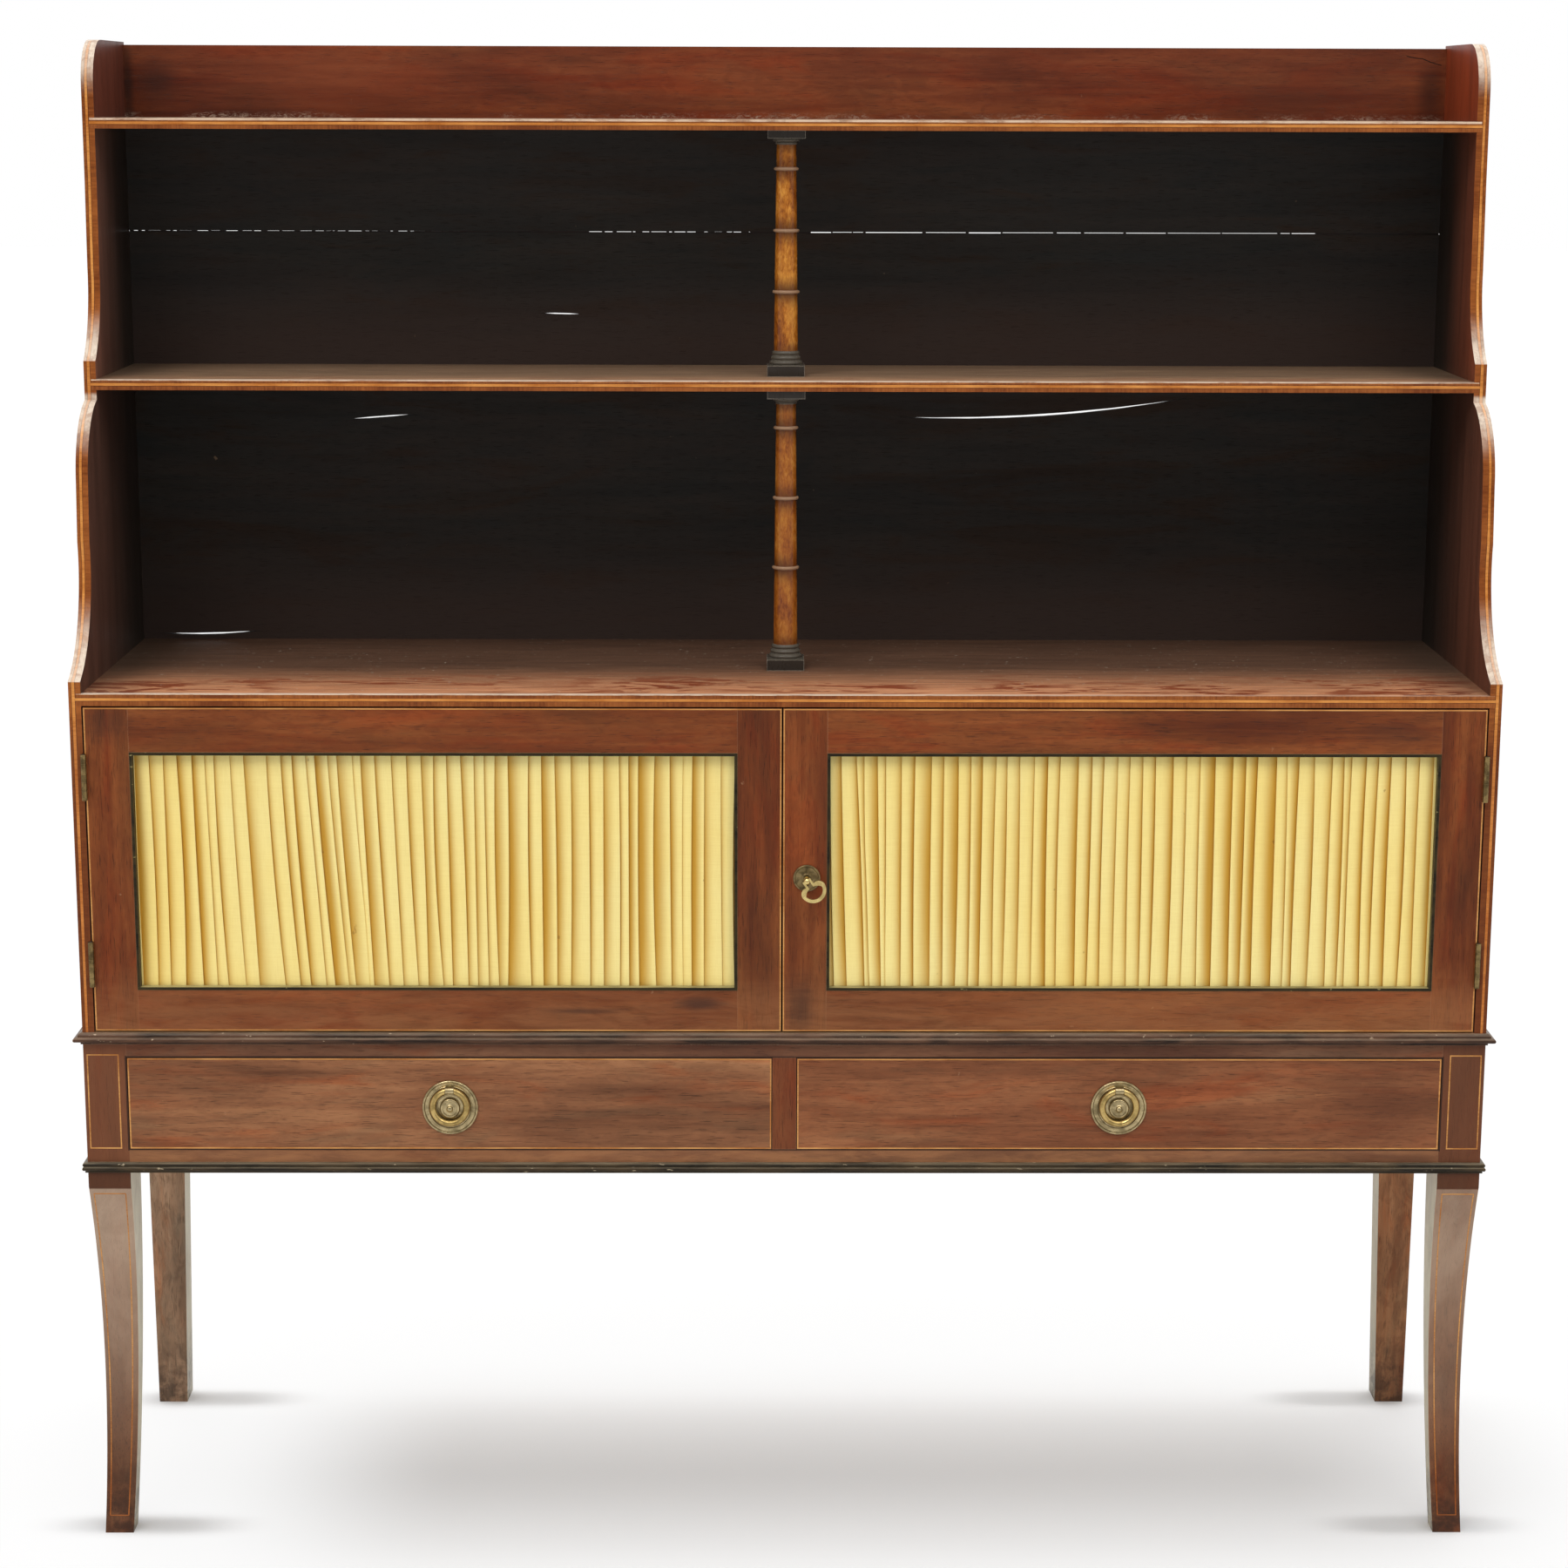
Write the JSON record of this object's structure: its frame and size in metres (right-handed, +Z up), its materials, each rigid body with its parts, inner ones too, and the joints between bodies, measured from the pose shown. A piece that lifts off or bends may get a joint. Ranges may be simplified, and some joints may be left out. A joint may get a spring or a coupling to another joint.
{
  "type": "chiffonier",
  "caption": "Shallow chiffonier with stepped open shelves between shaped sides, above silk-panelled doors, ring-pull drawers and splayed sabre legs.",
  "frame": {"origin": "on the floor, at the middle of the whole piece's width and depth", "axes": "+X to the right as seen from the front, -Y the front, +Z up"},
  "size_m": [1.417, 0.38, 1.487],
  "materials": {
    "mahogany": "old french polish, dark red-brown",
    "ebonised": "black stain and polish, worn at the edges",
    "satinwood": "golden, mottled with dark",
    "oak": "plain and unpolished",
    "deal": "plain softwood, aged brown",
    "silk": "gold silk in fine gathers",
    "brass": "aged, greenish",
    "steel": "dull, dark"
  },
  "bodies": {
    "case": {"front_leg_left": "mahogany", "front_leg_right": "mahogany", "back_leg_left": "mahogany", "back_leg_right": "mahogany", "frieze_rails": "mahogany", "drawer_divider": "mahogany", "side_rails": "mahogany", "back_rail": "deal", "drawer_runners": "deal", "drawer_guides": "deal", "drawer_kickers": "deal", "drawer_stops": "deal", "lower_moulding": "ebonised", "waist_moulding": "ebonised", "side_left": "mahogany", "side_right": "mahogany", "cupboard_bottom": "mahogany", "counter_shelf": "mahogany", "middle_shelf": "mahogany", "top_shelf": "mahogany", "gallery_board": "mahogany", "back_boards": "mahogany", "upper_column": "satinwood", "lower_column": "satinwood", "case_hinge_leaves": "brass", "hinge_pins": "steel"},
    "left_door": {"left_door_stiles": "mahogany", "left_door_rails": "mahogany", "left_door_bead": "ebonised", "left_door_silk": "silk", "left_door_battens": "deal", "left_door_hinge_leaves": "brass", "strike_plate": "brass", "left_door_bolt_plates": "brass"},
    "right_door": {"right_door_stiles": "mahogany", "right_door_rails": "mahogany", "right_door_bead": "ebonised", "right_door_silk": "silk", "right_door_battens": "deal", "right_door_hinge_leaves": "brass", "escutcheon": "brass", "lock_case": "steel"},
    "left_door_top_bolt": {"left_door_top_bolt": "brass"},
    "left_door_bottom_bolt": {"left_door_bottom_bolt": "brass"},
    "lock_bolt": {"lock_bolt": "steel"},
    "key": {"key": "brass"},
    "key_bow": {"key_bow": "brass"},
    "left_drawer": {"left_drawer_front": "mahogany", "left_drawer_box": "oak", "left_drawer_bottom": "oak", "left_pull_plate": "brass", "left_pull_bolt": "brass"},
    "left_pull_ring": {"left_pull_ring": "brass"},
    "right_drawer": {"right_drawer_front": "mahogany", "right_drawer_box": "oak", "right_drawer_bottom": "oak", "right_pull_plate": "brass", "right_pull_bolt": "brass"},
    "right_pull_ring": {"right_pull_ring": "brass"}
  },
  "joints": [
    {"name": "left_door_hinge", "type": "hinge", "parent": "case", "child": "left_door", "pos_m": [-0.6873, -0.1604, 0.685], "axis": [0, 0, -1], "range_deg": [0, 170]},
    {"name": "right_door_hinge", "type": "hinge", "parent": "case", "child": "right_door", "pos_m": [0.6873, -0.1604, 0.685], "axis": [0, 0, 1], "range_deg": [0, 170]},
    {"name": "left_drawer_slide", "type": "slide", "parent": "case", "child": "left_drawer", "axis": [0, -1, 0], "range_m": [0, 0.23]},
    {"name": "left_ring_swing", "type": "hinge", "parent": "left_drawer", "child": "left_pull_ring", "pos_m": [-0.33525, -0.1636, 0.4605], "axis": [-1, 0, 0], "range_deg": [0, 90]},
    {"name": "right_drawer_slide", "type": "slide", "parent": "case", "child": "right_drawer", "axis": [0, -1, 0], "range_m": [0, 0.23]},
    {"name": "right_ring_swing", "type": "hinge", "parent": "right_drawer", "child": "right_pull_ring", "pos_m": [0.33425, -0.1636, 0.4605], "axis": [-1, 0, 0], "range_deg": [0, 90]},
    {"name": "key_turn", "type": "hinge", "parent": "right_door", "child": "key", "pos_m": [0.0206, -0.157, 0.6775], "axis": [0, -1, 0], "range_deg": [0, 180]},
    {"name": "lock_bolt_slide", "type": "slide", "parent": "right_door", "child": "lock_bolt", "axis": [-1, 0, 0], "range_m": [0, 0.008]},
    {"name": "key_bow_fold", "type": "hinge", "parent": "key", "child": "key_bow", "pos_m": [0.0206, -0.1715, 0.6775], "axis": [-0.8192, 0, -0.5736], "range_deg": [0, 90]},
    {"name": "left_door_top_bolt_slide", "type": "slide", "parent": "left_door", "child": "left_door_top_bolt", "axis": [0, 0, 1], "range_m": [0, 0.01]},
    {"name": "left_door_bottom_bolt_slide", "type": "slide", "parent": "left_door", "child": "left_door_bottom_bolt", "axis": [0, 0, -1], "range_m": [0, 0.01]}
  ],
  "couplings": [
    {"joint": "lock_bolt_slide", "follows": "key_turn", "m_per_rad": 0.002545}
  ]
}
